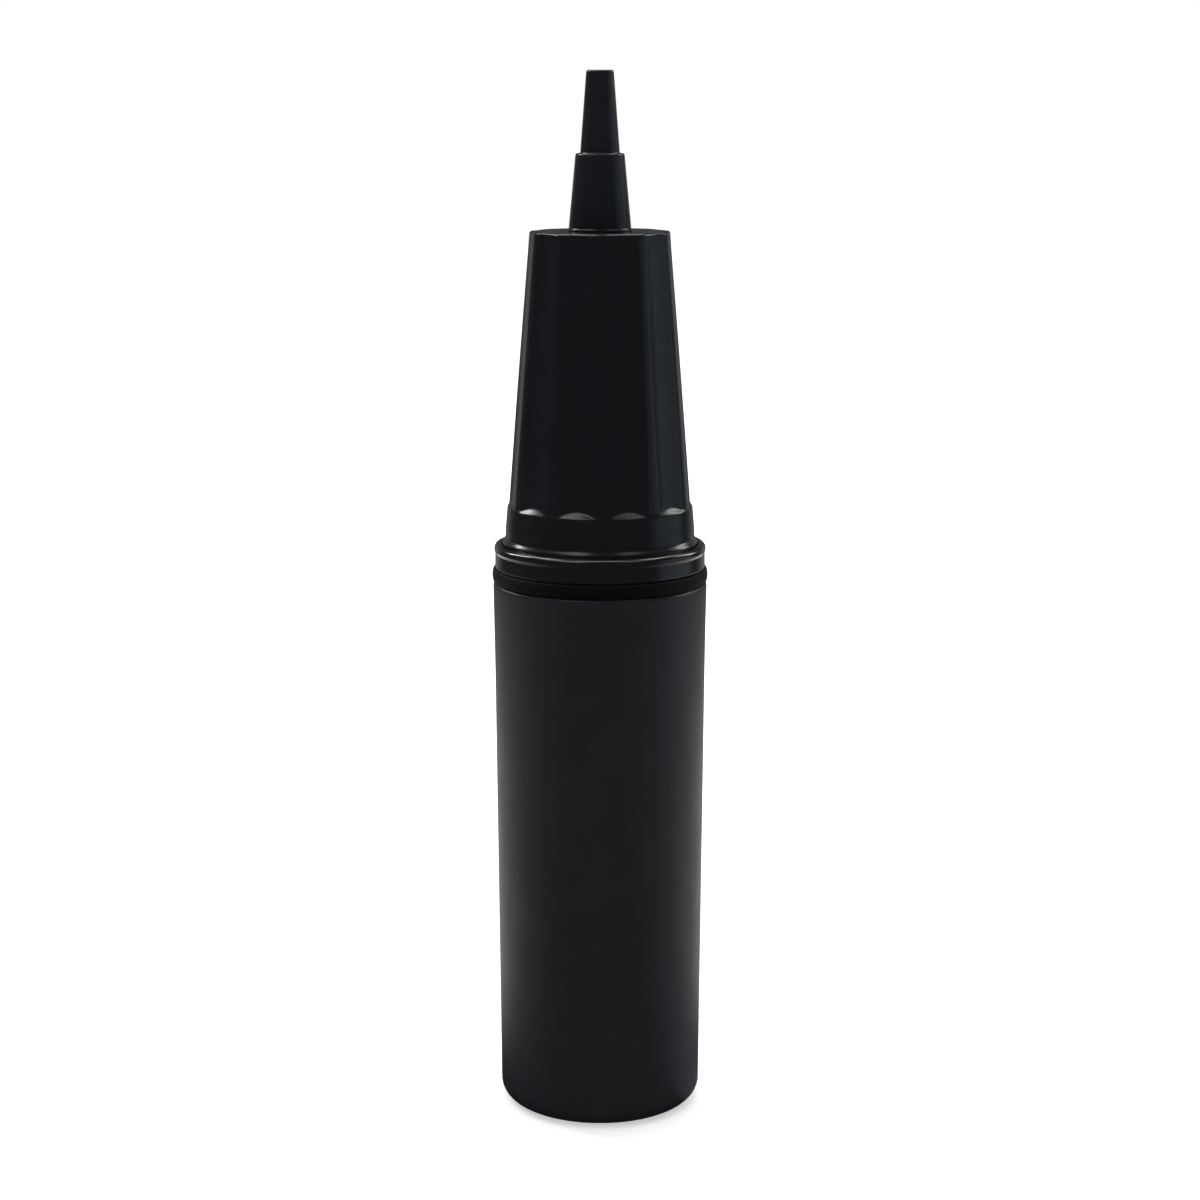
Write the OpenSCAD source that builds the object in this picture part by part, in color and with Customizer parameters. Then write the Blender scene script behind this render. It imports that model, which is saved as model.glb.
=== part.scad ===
// Double-acting hand pump for play balls: a moulded barrel held in one hand, and a plunger with a
// fluted grip and a stepped tapered nozzle held in the other. Both strokes push air out of the nozzle.
// Frame: +Z runs from the foot to the nozzle tip, and the origin is the centre of the foot.
// The plunger is drawn pushed in. All sizes are in millimetres.

/* [Overall] */
// Height with the plunger pushed in, foot to nozzle tip
pump_h = 200; // [196:1:206]
// How far the plunger draws out
stroke = 80; // [74:1:80]

/* [Barrel] */
// Height of the shoulder that carries the sealing band
barrel_h = 104; // [104:0.5:106]
// Diameter just above the rounded foot
foot_d = 39.1; // [38.8:0.1:39.4]
// Diameter at the shoulder, wider by the moulding draft
shoulder_d = 41; // [40.8:0.1:41.2]
// Diameter of the bore that the piston ring runs in
bore_d = 35.2; // [35:0.1:35.3]
// Radius of the rounded foot edge
foot_round = 3.6; // [3:0.1:4]

/* [Collar] */
// Diameter of the rounded rim
rim_d = 40.5; // [40.4:0.1:41]
// Height of the collar above the sealing band
collar_h = 4.7; // [4.6:0.1:5]
// Height of the soft band between the barrel and the collar
band_h = 2.6; // [2.4:0.1:2.6]

/* [Grip] */
// Height of the flat top of the grip
grip_top_z = 170.4; // [169:0.2:172]
// Diameter of the flat top
grip_top_d = 27; // [26.8:0.1:28]
// Diameter of the fluted cone where it meets the skirt
grip_low_d = 34.9; // [34.7:0.1:35]
// Number of finger flutes
flute_n = 11; // [10:1:12]
// Depth of each flute below the cone
flute_depth = 0.75; // [0.5:0.05:0.8]
// Radius of the scoop that cuts a flute
flute_r = 17; // [15:1:22]

/* [Nozzle] */
// Height of the step between the two tapers
step_z = 184.8; // [184:0.2:186]
// Diameter at the foot of the lower taper
nozzle_low_d = 11.5; // [11.3:0.1:11.6]
// Diameter of the lower taper at the step
nozzle_step_d = 9.1; // [8.8:0.1:9.4]
// Diameter of the tip taper at the step
tip_low_d = 7.4; // [7.2:0.1:7.6]
// Diameter of the tip
tip_d = 5.1; // [5:0.1:5.4]
// Diameter of the outlet bore
outlet_d = 2.7; // [2.4:0.1:2.8]

/* [Tube] */
// Outside diameter of the sliding inner tube
tube_d = 26; // [25.9:0.1:26]
// Wall of the inner tube
tube_wall = 1.6; // [1.4:0.1:1.6]

/* [Hidden] */
$fn = 96;
eps = 0.1;          // overshoot of a cut past a face
run_fit = 0.05;     // radial clearance of a running or pressed fit
seat_gap = 0.02;    // gap under a piece that rests on a face

// Barrel
foot_r = foot_d / 2;
shoulder_r = shoulder_d / 2;
bore_r = bore_d / 2;
shoulder_round = 0.9;
waist_z = barrel_h - 14;    // above this the draft opens a little more
waist_r = shoulder_r - 0.22;
recess_r = 13;              // hollow under the foot
recess_h = 1.6;
floor_top = 5;              // top of the barrel's floor
pocket_r = 9.5;             // pocket that holds the inlet disc
pocket_z = 3;
inlet_n = 6;
inlet_d = 2.6;
inlet_ring_r = 5.6;
neck_r = 19.2;              // neck that the collar snaps over
neck_top = barrel_h + 5;
snap_z = barrel_h + 3.8;
snap_r = 0.5;
snap_sink = 0.15;           // how far the bead's centre lies inside the neck

// Inlet valve
pin_r = 2;
pin_head_r = 4;
pin_head_h = 1;
disc_h = 1;
disc_lift = 1;
disc_r = 8.3;
disc_hole_r = pin_r + 0.15;

// Collar
rim_r = rim_d / 2;
rim_round = 0.7;
collar_r = rim_r - 0.12;
collar_z = barrel_h + band_h;
collar_top = collar_z + collar_h;
rim_z = collar_top - rim_round;      // centre of the rounded rim
shelf_under = neck_top + eps;
tube_r = tube_d / 2;
rod_hole_r = tube_r + 0.25;
spigot_r = bore_r - 0.15;
spigot_z = barrel_h - 5;
pocket_lip = 0.6;                    // height of the snap lip under the bush
bush_r = 16.15;
bush_z = spigot_z + pocket_lip;
bush_top = barrel_h + 1.4;
seal_room_r = 15.9;                  // chamber that the rod seal floats in
slot_w = 1.8;
slot_h = 0.9;
vent_n = 8;
vent_r = 14.9;
vent_d = 1.6;

// Floating rings
rod_seal_wire = 1.2;                 // radius of the ring's section
rod_seal_r = tube_r + rod_seal_wire + 0.03;
rod_seal_z = bush_top + rod_seal_wire + seat_gap;
ring_wire = 1.55;
ring_r = bore_r - ring_wire - run_fit;

// Piston
flange_h = 2.3;
groove_h = 4.6;
piston_h = 2 * flange_h + groove_h;
bumper_h = 3;
bumper_r = 17;
piston_top = spigot_z - stroke - bumper_h - seat_gap;
piston_z = piston_top - piston_h;
flange_r = bore_r - 0.4;
groove_r = 13.6;
cavity_r = 9.4;
cavity_floor = 2;
port_n = 6;
port_d = 2.8;
plug_h = 12;                         // plug that holds the piston in the tube
barb_pitch = 3;
ring_z = piston_top - flange_h - ring_wire - seat_gap;

// Inner tube
tube_bore_r = tube_r - tube_wall;
tube_top = 140;

// Grip
grip_z = collar_top - 0.6;
grip_low_r = grip_low_d / 2;
grip_top_r = grip_top_d / 2;
skirt_top = 118.4;
skirt_r = grip_low_r + 0.25;         // the skirt stands proud of the cone
skirt_low_r = skirt_r + 0.35;
skirt_low_z = grip_z + 3.6;
flare_r = 18.7;                      // clears the inside of the collar's rounded rim
flare_z = grip_z + 0.8;
runout_h = 1.4;                      // sloped end of each flute
runout_in = 1.2;
top_round = 0.6;
cone_h = grip_top_z - skirt_top;
cone_tilt = atan((grip_low_r - grip_top_r) / cone_h);
flute_phase = -71.7;                 // turns one flute to 18 degrees right of the front (-Y)
socket_r = tube_r + run_fit;
socket_wall_r = tube_r + 1.6;
gasket_h = 1.2;
shoulder_z = tube_top + gasket_h;    // stop above the tube's end
chamber_r = 11.3;
roof_z = grip_top_z - 3;             // underside of the flat top
boss_r = 7.6;
boss_z = 158.6;
rib_n = 6;
rib_w = 1.2;
shell_r = 16.2;                      // inside of the skirt
hollow_top = 125;

// Nozzle
screw_r = 4.7;
screw_core_r = 4.3;
screw_pitch = 1.5;
screw_z = boss_z + 0.4;
counterbore_r = 5.75;
counterbore_h = 1.1;
nozzle_low_r = nozzle_low_d / 2;
nozzle_ring_r = nozzle_low_r + 0.25;
nozzle_ring_h = 1.1;
nozzle_z = grip_top_z + seat_gap;
inner_bore_r = 2.6;
outlet_z = 186;                      // foot of the narrow outlet bore
tip_round = 0.35;

// ---- helpers ----

// Flat ring between two radii, standing on z
module ring(inner, outer, z, h) {
    translate([0, 0, z]) difference() {
        cylinder(r = outer, h = h);
        translate([0, 0, -eps]) cylinder(r = inner, h = h + 2 * eps);
    }
}

// Round-section ring
module round_ring(centre_r, wire, z) {
    rotate_extrude() translate([centre_r, z]) circle(wire);
}

// Profile of what is removed to round an outer corner at [x, z]; up is 1 for a top edge and -1 for a foot
module corner_cut(x, z, r, up) {
    translate([x - r, z - up * r]) difference() {
        translate([0, up > 0 ? 0 : -r - eps]) square(r + eps);
        circle(r);
    }
}

// ---- barrel side ----

// Moulded cup with a drafted outside, a straight bore, a vented floor and a neck for the collar
module barrel() {
    color([0.11, 0.11, 0.12]) difference() {
        rotate_extrude() {
            difference() {
                polygon([[0, 0], [foot_r, 0], [foot_r, foot_round], [waist_r, waist_z],
                         [shoulder_r, barrel_h - shoulder_round], [shoulder_r, barrel_h],
                         [neck_r, barrel_h], [neck_r, neck_top], [bore_r, neck_top],
                         [bore_r, floor_top], [0, floor_top]]);
                corner_cut(foot_r, 0, foot_round, -1);
                corner_cut(shoulder_r, barrel_h, shoulder_round, 1);
                translate([0, -eps]) square([recess_r, recess_h + eps]);
                translate([0, pocket_z]) square([pocket_r, floor_top]);
            }
            translate([neck_r - snap_sink, snap_z]) circle(snap_r);
        }
        cylinder(r = pin_r, h = floor_top);
        for (i = [0 : inlet_n - 1]) rotate([0, 0, i * 360 / inlet_n])
            translate([inlet_ring_r, 0, 0]) cylinder(d = inlet_d, h = floor_top);
    }
}

// Mushroom pin that keeps the inlet disc over its holes
module valve_pin() {
    color([0.35, 0.35, 0.37]) rotate_extrude() polygon([
        [0, recess_h - 0.9], [pin_r - 0.4, recess_h - 0.9], [pin_r + 0.4, recess_h - 0.1],
        [pin_r + 0.4, recess_h - seat_gap], [pin_r - seat_gap, recess_h - seat_gap],
        [pin_r - seat_gap, pocket_z + disc_h + disc_lift + seat_gap],
        [pin_head_r, pocket_z + disc_h + disc_lift + seat_gap],
        [pin_head_r, pocket_z + disc_h + disc_lift + 0.6 * pin_head_h],
        [pin_head_r - 1, pocket_z + disc_h + disc_lift + pin_head_h],
        [0, pocket_z + disc_h + disc_lift + pin_head_h]]);
}

// Loose rubber disc that lifts to let air in on the pull stroke
module intake_disc() {
    color([0.16, 0.15, 0.15]) ring(disc_hole_r, disc_r, pocket_z + seat_gap, disc_h - 2 * seat_gap);
}

// Soft band squeezed between the barrel's shoulder and the collar, slightly bulged
module sealing_band() {
    bulge_r = 6;
    color([0.04, 0.04, 0.04]) rotate_extrude() intersection() {
        translate([neck_r + run_fit, barrel_h + seat_gap]) square([3, band_h - 2 * seat_gap]);
        translate([shoulder_r + 0.2 - bulge_r, barrel_h + band_h / 2]) circle(bulge_r);
    }
}

// Glossy collar that snaps over the neck, with a rounded rim and the housing of the rod seal
module collar() {
    color([0.06, 0.06, 0.065]) rotate_extrude() difference() {
        union() {
            polygon([[neck_r + run_fit, collar_z], [collar_r, collar_z], [collar_r, rim_z],
                     [rod_hole_r, rim_z], [rod_hole_r, shelf_under], [neck_r + run_fit, shelf_under]]);
            translate([rim_r - rim_round, rim_z]) circle(rim_round);
            polygon([[spigot_r, shelf_under], [seal_room_r, shelf_under], [seal_room_r, bush_top],
                     [bush_r + run_fit, bush_top], [bush_r + run_fit, bush_z],
                     [bush_r - 0.45, spigot_z], [spigot_r, spigot_z]]);
        }
        corner_cut(collar_r, collar_z, 0.4, -1);
        translate([neck_r - snap_sink, snap_z]) circle(snap_r + run_fit);
    }
}

// One-piece guide bush, loose in the collar, with air ways past the rod seal
module guide_bush() {
    color([0.75, 0.75, 0.72]) difference() {
        ring(tube_r + run_fit, bush_r, bush_z + seat_gap, bush_top - bush_z - 2 * seat_gap);
        for (i = [0 : vent_n - 1]) rotate([0, 0, i * 360 / vent_n]) {
            translate([vent_r, 0, bush_z]) cylinder(d = vent_d, h = bush_top - bush_z);
            translate([tube_r, -slot_w / 2, bush_top - slot_h]) cube([5, slot_w, slot_h]);
        }
    }
}

// Round ring on the inner tube that shuttles between the bush and the collar
module rod_seal() {
    color([0.05, 0.05, 0.05]) round_ring(rod_seal_r, rod_seal_wire, rod_seal_z);
}

// ---- plunger side ----

// Hollow rod that carries the air from the piston up to the nozzle
module inner_tube() {
    edge = 0.4;
    color([0.13, 0.13, 0.14]) rotate_extrude() polygon([
        [tube_bore_r, piston_top + seat_gap], [tube_r, piston_top + seat_gap],
        [tube_r, tube_top - edge], [tube_r - edge, tube_top], [tube_bore_r, tube_top]]);
}

// Piston with two flanges, a wide groove for the floating ring, and ports into its hollow middle
module piston_head() {
    plug_r = tube_bore_r - run_fit;
    plug_core_r = plug_r - 0.35;
    color([0.75, 0.75, 0.72]) difference() {
        rotate_extrude() {
            polygon([[cavity_r, piston_z + cavity_floor], [0, piston_z + cavity_floor], [0, piston_z],
                     [flange_r, piston_z], [flange_r, piston_z + flange_h],
                     [groove_r, piston_z + flange_h], [groove_r, piston_top - flange_h],
                     [flange_r, piston_top - flange_h], [flange_r, piston_top],
                     [plug_core_r, piston_top], [plug_core_r, piston_top + plug_h],
                     [cavity_r, piston_top + plug_h]]);
            for (z = [piston_top + barb_pitch : barb_pitch : piston_top + plug_h - 1])
                polygon([[plug_core_r - eps, z - 1], [plug_r, z - 1], [plug_r, z - 0.5],
                         [plug_core_r - eps, z + 1]]);
        }
        for (i = [0 : port_n - 1]) rotate([0, 0, (i + 0.5) * 360 / port_n])
            translate([0, 0, piston_z + piston_h / 2]) rotate([0, 90, 0])
                translate([0, 0, cavity_r - 1]) cylinder(d = port_d, h = groove_r - cavity_r + 2);
    }
}

// Floating ring that seals against the upper flange on the push and the lower flange on the pull
module piston_ring() {
    color([0.05, 0.05, 0.05]) round_ring(ring_r, ring_wire, ring_z);
}

// Rubber stop that meets the collar's housing at full draw
module bumper_ring() {
    edge = 0.6;
    color([0.05, 0.05, 0.05]) rotate_extrude() polygon([
        [tube_r + run_fit, piston_top + seat_gap], [bumper_r, piston_top + seat_gap],
        [bumper_r, piston_top + bumper_h - edge], [bumper_r - edge, piston_top + bumper_h],
        [tube_r + run_fit, piston_top + bumper_h]]);
}

// Washer that seals the top of the tube in the grip's socket
module tube_gasket() {
    color([0.3, 0.08, 0.06]) ring(tube_bore_r, tube_r, tube_top + seat_gap, gasket_h - 2 * seat_gap);
}

// Scoops that cut the flutes, each a cylinder lying along the cone's side
module flute_scoops() {
    for (i = [0 : flute_n - 1]) rotate([0, 0, flute_phase + i * 360 / flute_n])
        translate([grip_low_r - flute_depth + flute_r, 0, skirt_top]) rotate([0, -cone_tilt, 0])
            translate([0, 0, -1]) cylinder(r = flute_r, h = cone_h + 6);
}

// Space between the outer shell and the tube socket, crossed by ribs
module shell_hollow() {
    difference() {
        rotate_extrude() polygon([[socket_wall_r, grip_z - eps], [shell_r, grip_z - eps],
                                  [shell_r - 0.3, skirt_low_z + 3.2], [socket_wall_r, hollow_top]]);
        for (i = [0 : rib_n - 1]) rotate([0, 0, i * 360 / rib_n])
            translate([socket_wall_r - 1, -rib_w / 2, grip_z + 1.5]) cube([4, rib_w, 20]);
    }
}

// Fluted grip with a skirt at its foot, a socket for the tube and a threaded boss for the nozzle
module grip_head() {
    color([0.07, 0.07, 0.08]) difference() {
        union() {
            difference() {
                rotate_extrude() difference() {
                    polygon([[0, skirt_top - 2], [grip_low_r, skirt_top - 2],
                             [grip_low_r, skirt_top], [grip_top_r, grip_top_z], [0, grip_top_z]]);
                    corner_cut(grip_top_r, grip_top_z, top_round, 1);
                }
                flute_scoops();
            }
            rotate_extrude() polygon([
                [0, grip_z], [flare_r, grip_z], [flare_r, flare_z], [skirt_low_r + 0.36, flare_z + 0.9],
                [skirt_low_r + 0.1, flare_z + 1.8], [skirt_low_r, skirt_low_z], [skirt_r, skirt_top],
                [skirt_r - runout_in, skirt_top + runout_h], [0, skirt_top + runout_h]]);
        }
        translate([0, 0, grip_z - eps]) cylinder(r = socket_r, h = tube_top - grip_z + eps);
        translate([0, 0, tube_top - eps]) cylinder(r = socket_r, h = gasket_h + eps);
        rotate_extrude() polygon([[0, shoulder_z - eps], [chamber_r, shoulder_z - eps],
                                  [chamber_r - 0.4, roof_z], [boss_r, roof_z], [boss_r, boss_z],
                                  [0, boss_z]]);
        shell_hollow();
        translate([0, 0, boss_z - eps]) cylinder(r = screw_r + run_fit, h = grip_top_z);
        translate([0, 0, grip_top_z - counterbore_h]) cylinder(r = counterbore_r, h = grip_top_z);
    }
}

// Flat washer under the nozzle
module nozzle_gasket() {
    color([0.3, 0.08, 0.06]) ring(screw_r + run_fit, counterbore_r - run_fit,
        grip_top_z - counterbore_h + seat_gap, counterbore_h - 2 * seat_gap);
}

// Two-stage tapered nozzle with a screwed foot
module nozzle() {
    color([0.09, 0.09, 0.1]) rotate_extrude() {
        difference() {
            polygon([[inner_bore_r, screw_z], [screw_core_r, screw_z], [screw_core_r, nozzle_z],
                     [nozzle_ring_r, nozzle_z], [nozzle_ring_r, nozzle_z + nozzle_ring_h],
                     [nozzle_low_r, nozzle_z + nozzle_ring_h], [nozzle_step_d / 2, step_z],
                     [tip_low_d / 2, step_z], [tip_d / 2, pump_h], [outlet_d / 2, pump_h],
                     [outlet_d / 2, outlet_z], [inner_bore_r, outlet_z - 2]]);
            corner_cut(nozzle_step_d / 2, step_z, tip_round, 1);
            corner_cut(tip_d / 2, pump_h, tip_round, 1);
        }
        for (z = [screw_z + 1 : screw_pitch : grip_top_z - counterbore_h - 1])
            polygon([[screw_core_r - eps, z - 0.5], [screw_r, z - 0.1], [screw_r, z + 0.1],
                     [screw_core_r - eps, z + 0.5]]);
    }
}

barrel();
valve_pin();
intake_disc();
sealing_band();
collar();
guide_bush();
rod_seal();
inner_tube();
piston_head();
piston_ring();
bumper_ring();
tube_gasket();
grip_head();
nozzle_gasket();
nozzle();
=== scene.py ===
"""Dresses the ball pump: moulded barrel, soft sealing ring, gloss collar, fluted grip and stepped nozzle.

Lengths are in millimetres and angles in degrees, except in the studio, where lengths are in metres. Meshes
are written in metres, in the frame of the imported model: +Z runs up the pump's axis, the origin is the
centre of the foot and -Y is the front.
"""

from __future__ import annotations

import logging
import math
from dataclasses import dataclass
from enum import Enum
from typing import Any

import bpy
import numpy as np
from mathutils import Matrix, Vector

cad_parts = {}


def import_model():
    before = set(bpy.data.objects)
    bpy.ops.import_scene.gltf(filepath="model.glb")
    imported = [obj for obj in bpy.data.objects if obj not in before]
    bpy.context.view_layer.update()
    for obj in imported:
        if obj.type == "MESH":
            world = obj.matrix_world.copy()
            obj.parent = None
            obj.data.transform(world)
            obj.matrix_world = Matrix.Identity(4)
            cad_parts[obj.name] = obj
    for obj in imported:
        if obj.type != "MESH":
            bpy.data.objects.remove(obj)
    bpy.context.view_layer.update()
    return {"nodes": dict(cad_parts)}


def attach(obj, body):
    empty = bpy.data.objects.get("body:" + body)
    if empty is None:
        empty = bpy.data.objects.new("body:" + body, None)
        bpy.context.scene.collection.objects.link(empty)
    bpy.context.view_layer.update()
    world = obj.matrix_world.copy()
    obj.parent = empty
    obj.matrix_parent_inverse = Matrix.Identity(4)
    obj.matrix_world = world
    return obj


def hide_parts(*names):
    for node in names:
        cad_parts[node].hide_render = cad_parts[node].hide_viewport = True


LOG = logging.getLogger("ball_pump")
MM = 0.001
MICRON = 1e-6
ARC_POINTS = 7
STRAIGHT_POINTS = 3
# Where a colour Mix node keeps its two colours among its inputs, and its result among its outputs.
MIX_FIRST, MIX_SECOND, MIX_RESULT = 6, 7, 2
WHITE = (1.0, 1.0, 1.0, 1.0)

Pair = tuple[float, float]
Corners = tuple[tuple[float, float, float], ...]


# ---- numbers and colours


def linear(hex_colour: str) -> tuple[float, float, float, float]:
    """Turns an sRGB colour into the linear values that shaders take.

    Args:
        hex_colour: six hex digits after a hash, such as "#1b1b1e".

    Returns:
        Red, green, blue and alpha, from 0 to 1.
    """
    values = np.array([int(hex_colour[i : i + 2], 16) for i in (1, 3, 5)]) / 255.0
    low, high = values / 12.92, ((values + 0.055) / 1.055) ** 2.4
    red, green, blue = np.where(values <= 0.04045, low, high)
    return float(red), float(green), float(blue), 1.0


def soft_min(a: np.ndarray, b: np.ndarray, blend: float) -> np.ndarray:
    """Takes the smaller of two radii, with the corner where they cross rounded over a width of blend."""
    share = np.clip(0.5 + 0.5 * (b - a) / blend, 0.0, 1.0)
    return b * (1.0 - share) + a * share - blend * share * (1.0 - share)


def soft_max(a: np.ndarray, b: np.ndarray, blend: float) -> np.ndarray:
    """Takes the larger of two radii, with the corner where they cross filled over a width of blend."""
    return -soft_min(-a, -b, blend)


def ease(x: np.ndarray) -> np.ndarray:
    """Smooth step: nought below 0, one above 1, and 3x^2 - 2x^3 between."""
    t = np.clip(x, 0.0, 1.0)
    return t * t * (3.0 - 2.0 * t)


# ---- meshes


def rounded_outline(corners: np.ndarray, arc_points: int = ARC_POINTS, near: float = 0.07) -> np.ndarray:
    """Rounds the corners of a closed outline.

    At each corner the outline leaves its first side at a distance of radius x tan(half the turn), follows
    a circular arc of that radius, and joins the next side at the same distance. Each straight stretch
    also gets points close to both of its ends, so that shading stays flat along it.

    Args:
        corners: rows of radius from the axis, height and corner radius, in order round the outline.
        arc_points: points on each arc.
        near: how far from an arc's end the extra points on a straight stretch lie.

    Returns:
        Rows of radius from the axis and height.
    """
    place, bend = corners[:, :2], np.maximum(corners[:, 2:3], 1e-3)
    before, after = place - np.roll(place, 1, 0), np.roll(place, -1, 0) - place
    before /= np.linalg.norm(before, axis=1, keepdims=True)
    after /= np.linalg.norm(after, axis=1, keepdims=True)
    turn = np.arctan2(
        before[:, 0] * after[:, 1] - before[:, 1] * after[:, 0],
        (before * after).sum(1),
    )[:, None]
    reach = bend * np.abs(np.tan(turn / 2))
    side = np.sign(turn)
    across = np.stack([-before[:, 1], before[:, 0]], 1) * side
    centre = place - before * reach + across * bend
    angle = turn[:, :, None] * np.linspace(0.0, 1.0, arc_points)[None, :, None]
    spoke = -across[:, None, :] * bend[:, None, :]
    crossed = np.stack([-spoke[..., 1], spoke[..., 0]], -1)
    arcs = centre[:, None, :] + spoke * np.cos(angle) + crossed * np.sin(angle)
    start, end = arcs[:, -1], np.roll(arcs[:, 0], -1, 0)
    length = np.linalg.norm(end - start, axis=1)[:, None]
    inset = np.clip(near / np.maximum(length, 1e-6), 0.0, 0.2)
    share = np.stack([inset, 0.5 + 0 * inset, 1.0 - inset], 1)
    straight = start[:, None, :] * (1 - share) + end[:, None, :] * share
    return np.concatenate([arcs, straight], 1).reshape(-1, 2)


def turned(outline: np.ndarray, columns: int) -> np.ndarray:
    """Turns an outline about the axis.

    A point at radius r and height z becomes (r cos a, r sin a, z) for each of the columns' angles a.

    Args:
        outline: rows of radius and height.
        columns: how many steps the full turn is cut into.

    Returns:
        Points in rows along the outline and columns round the axis.
    """
    angle = np.arange(columns) * (2 * math.pi / columns)
    return around(np.repeat(outline[:, :1], columns, 1), outline[:, 1:2], angle[None, :])


def around(radius: np.ndarray, height: np.ndarray, angle: np.ndarray) -> np.ndarray:
    """Places a grid of radii, heights and angles as points (r cos a, r sin a, z)."""
    radius, height, angle = np.broadcast_arrays(radius, height, angle)
    return np.stack([radius * np.cos(angle), radius * np.sin(angle), height], -1)


def stand(name: str, places: np.ndarray, faces: list[list[int]]) -> bpy.types.Object:
    """Makes a mesh object at the origin.

    Args:
        name: the object's name.
        places: the points, in metres.
        faces: the numbers of each face's points.

    Returns:
        The new object, linked to the scene.
    """
    mesh = bpy.data.meshes.new(name)
    mesh.from_pydata(places.reshape(-1, 3).tolist(), [], faces)
    piece = bpy.data.objects.new(name, mesh)
    bpy.context.scene.collection.objects.link(piece)
    return piece


def skin(name: str, points: np.ndarray, ring: bool = True) -> bpy.types.Object:
    """Makes a closed, smooth mesh from a grid of points whose columns close on themselves.

    Args:
        name: the piece's name.
        points: rows x columns x 3, in millimetres, in the order that makes the faces point outwards.
        ring: whether the last row joins the first. If not, both ends are closed with a fan.

    Returns:
        The new object, at the origin.
    """
    rows, columns = points.shape[:2]
    index = np.arange(rows * columns).reshape(rows, columns)
    here = index if ring else index[:-1]
    above = np.roll(index, -1, 0) if ring else index[1:]
    faces = np.stack([here, np.roll(here, -1, 1), np.roll(above, -1, 1), above], -1)
    places = points.reshape(-1, 3)
    fans: list[list[int]] = []
    if not ring:
        low, high = len(places), len(places) + 1
        places = np.concatenate([places, points[:1].mean(1), points[-1:].mean(1)])
        bottom = np.stack([np.roll(index[0], -1), index[0], np.full(columns, low)], -1)
        top = np.stack([index[-1], np.roll(index[-1], -1), np.full(columns, high)], -1)
        fans = np.concatenate([bottom, top]).tolist()
    piece = stand(name, places * MM, faces.reshape(-1, 4).tolist() + fans)
    piece.data.polygons.foreach_set("use_smooth", np.ones(len(piece.data.polygons), dtype=bool))
    piece.data.update()
    return piece


def sheet(name: str, points: np.ndarray) -> bpy.types.Object:
    """Makes an open surface from a grid of points.

    Args:
        name: the object's name.
        points: rows x columns x 3, in metres.

    Returns:
        The new object.
    """
    index = np.arange(points.shape[0] * points.shape[1]).reshape(points.shape[:2])
    faces = np.stack([index[:-1, :-1], index[:-1, 1:], index[1:, 1:], index[1:, :-1]], -1)
    return stand(name, points, faces.reshape(-1, 4).tolist())


def join(name: str, parts: list[bpy.types.Object]) -> bpy.types.Object:
    """Joins several new meshes into one piece.

    Args:
        name: the joined piece's name.
        parts: the objects, which are used up.

    Returns:
        The joined object.
    """
    with bpy.context.temp_override(active_object=parts[0], selected_editable_objects=parts):
        bpy.ops.object.join()
    parts[0].name = parts[0].data.name = name
    return parts[0]


def dress(piece: bpy.types.Object, material: bpy.types.Material) -> None:
    """Gives a piece one material over its whole surface."""
    piece.data.materials.clear()
    piece.data.materials.append(material)


# ---- finishes


def add_node(
    tree: bpy.types.NodeTree,
    kind: str,
    settings: dict[Any, Any] | None = None,
    links: dict[Any, bpy.types.NodeSocket] | None = None,
) -> bpy.types.Node:
    """Adds one node with its settings and its incoming links.

    Args:
        tree: the node tree that gets the node.
        kind: the node's type name.
        settings: a property's name, or an input's name or number, and the value it gets.
        links: an input's name or number and the output that feeds it.

    Returns:
        The new node.
    """
    node = tree.nodes.new(kind)
    for key, value in (settings or {}).items():
        if isinstance(key, str) and hasattr(node, key):
            setattr(node, key, value)
        else:
            node.inputs[key].default_value = value
    for key, source in (links or {}).items():
        tree.links.new(source, node.inputs[key])
    return node


def cleared_tree(owner: bpy.types.Material | bpy.types.World) -> bpy.types.NodeTree:
    """Empties a new material's or world's node tree.

    Args:
        owner: the material or world.

    Returns:
        Its tree, without nodes.
    """
    owner.use_nodes = True
    owner.node_tree.nodes.clear()
    return owner.node_tree


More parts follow.
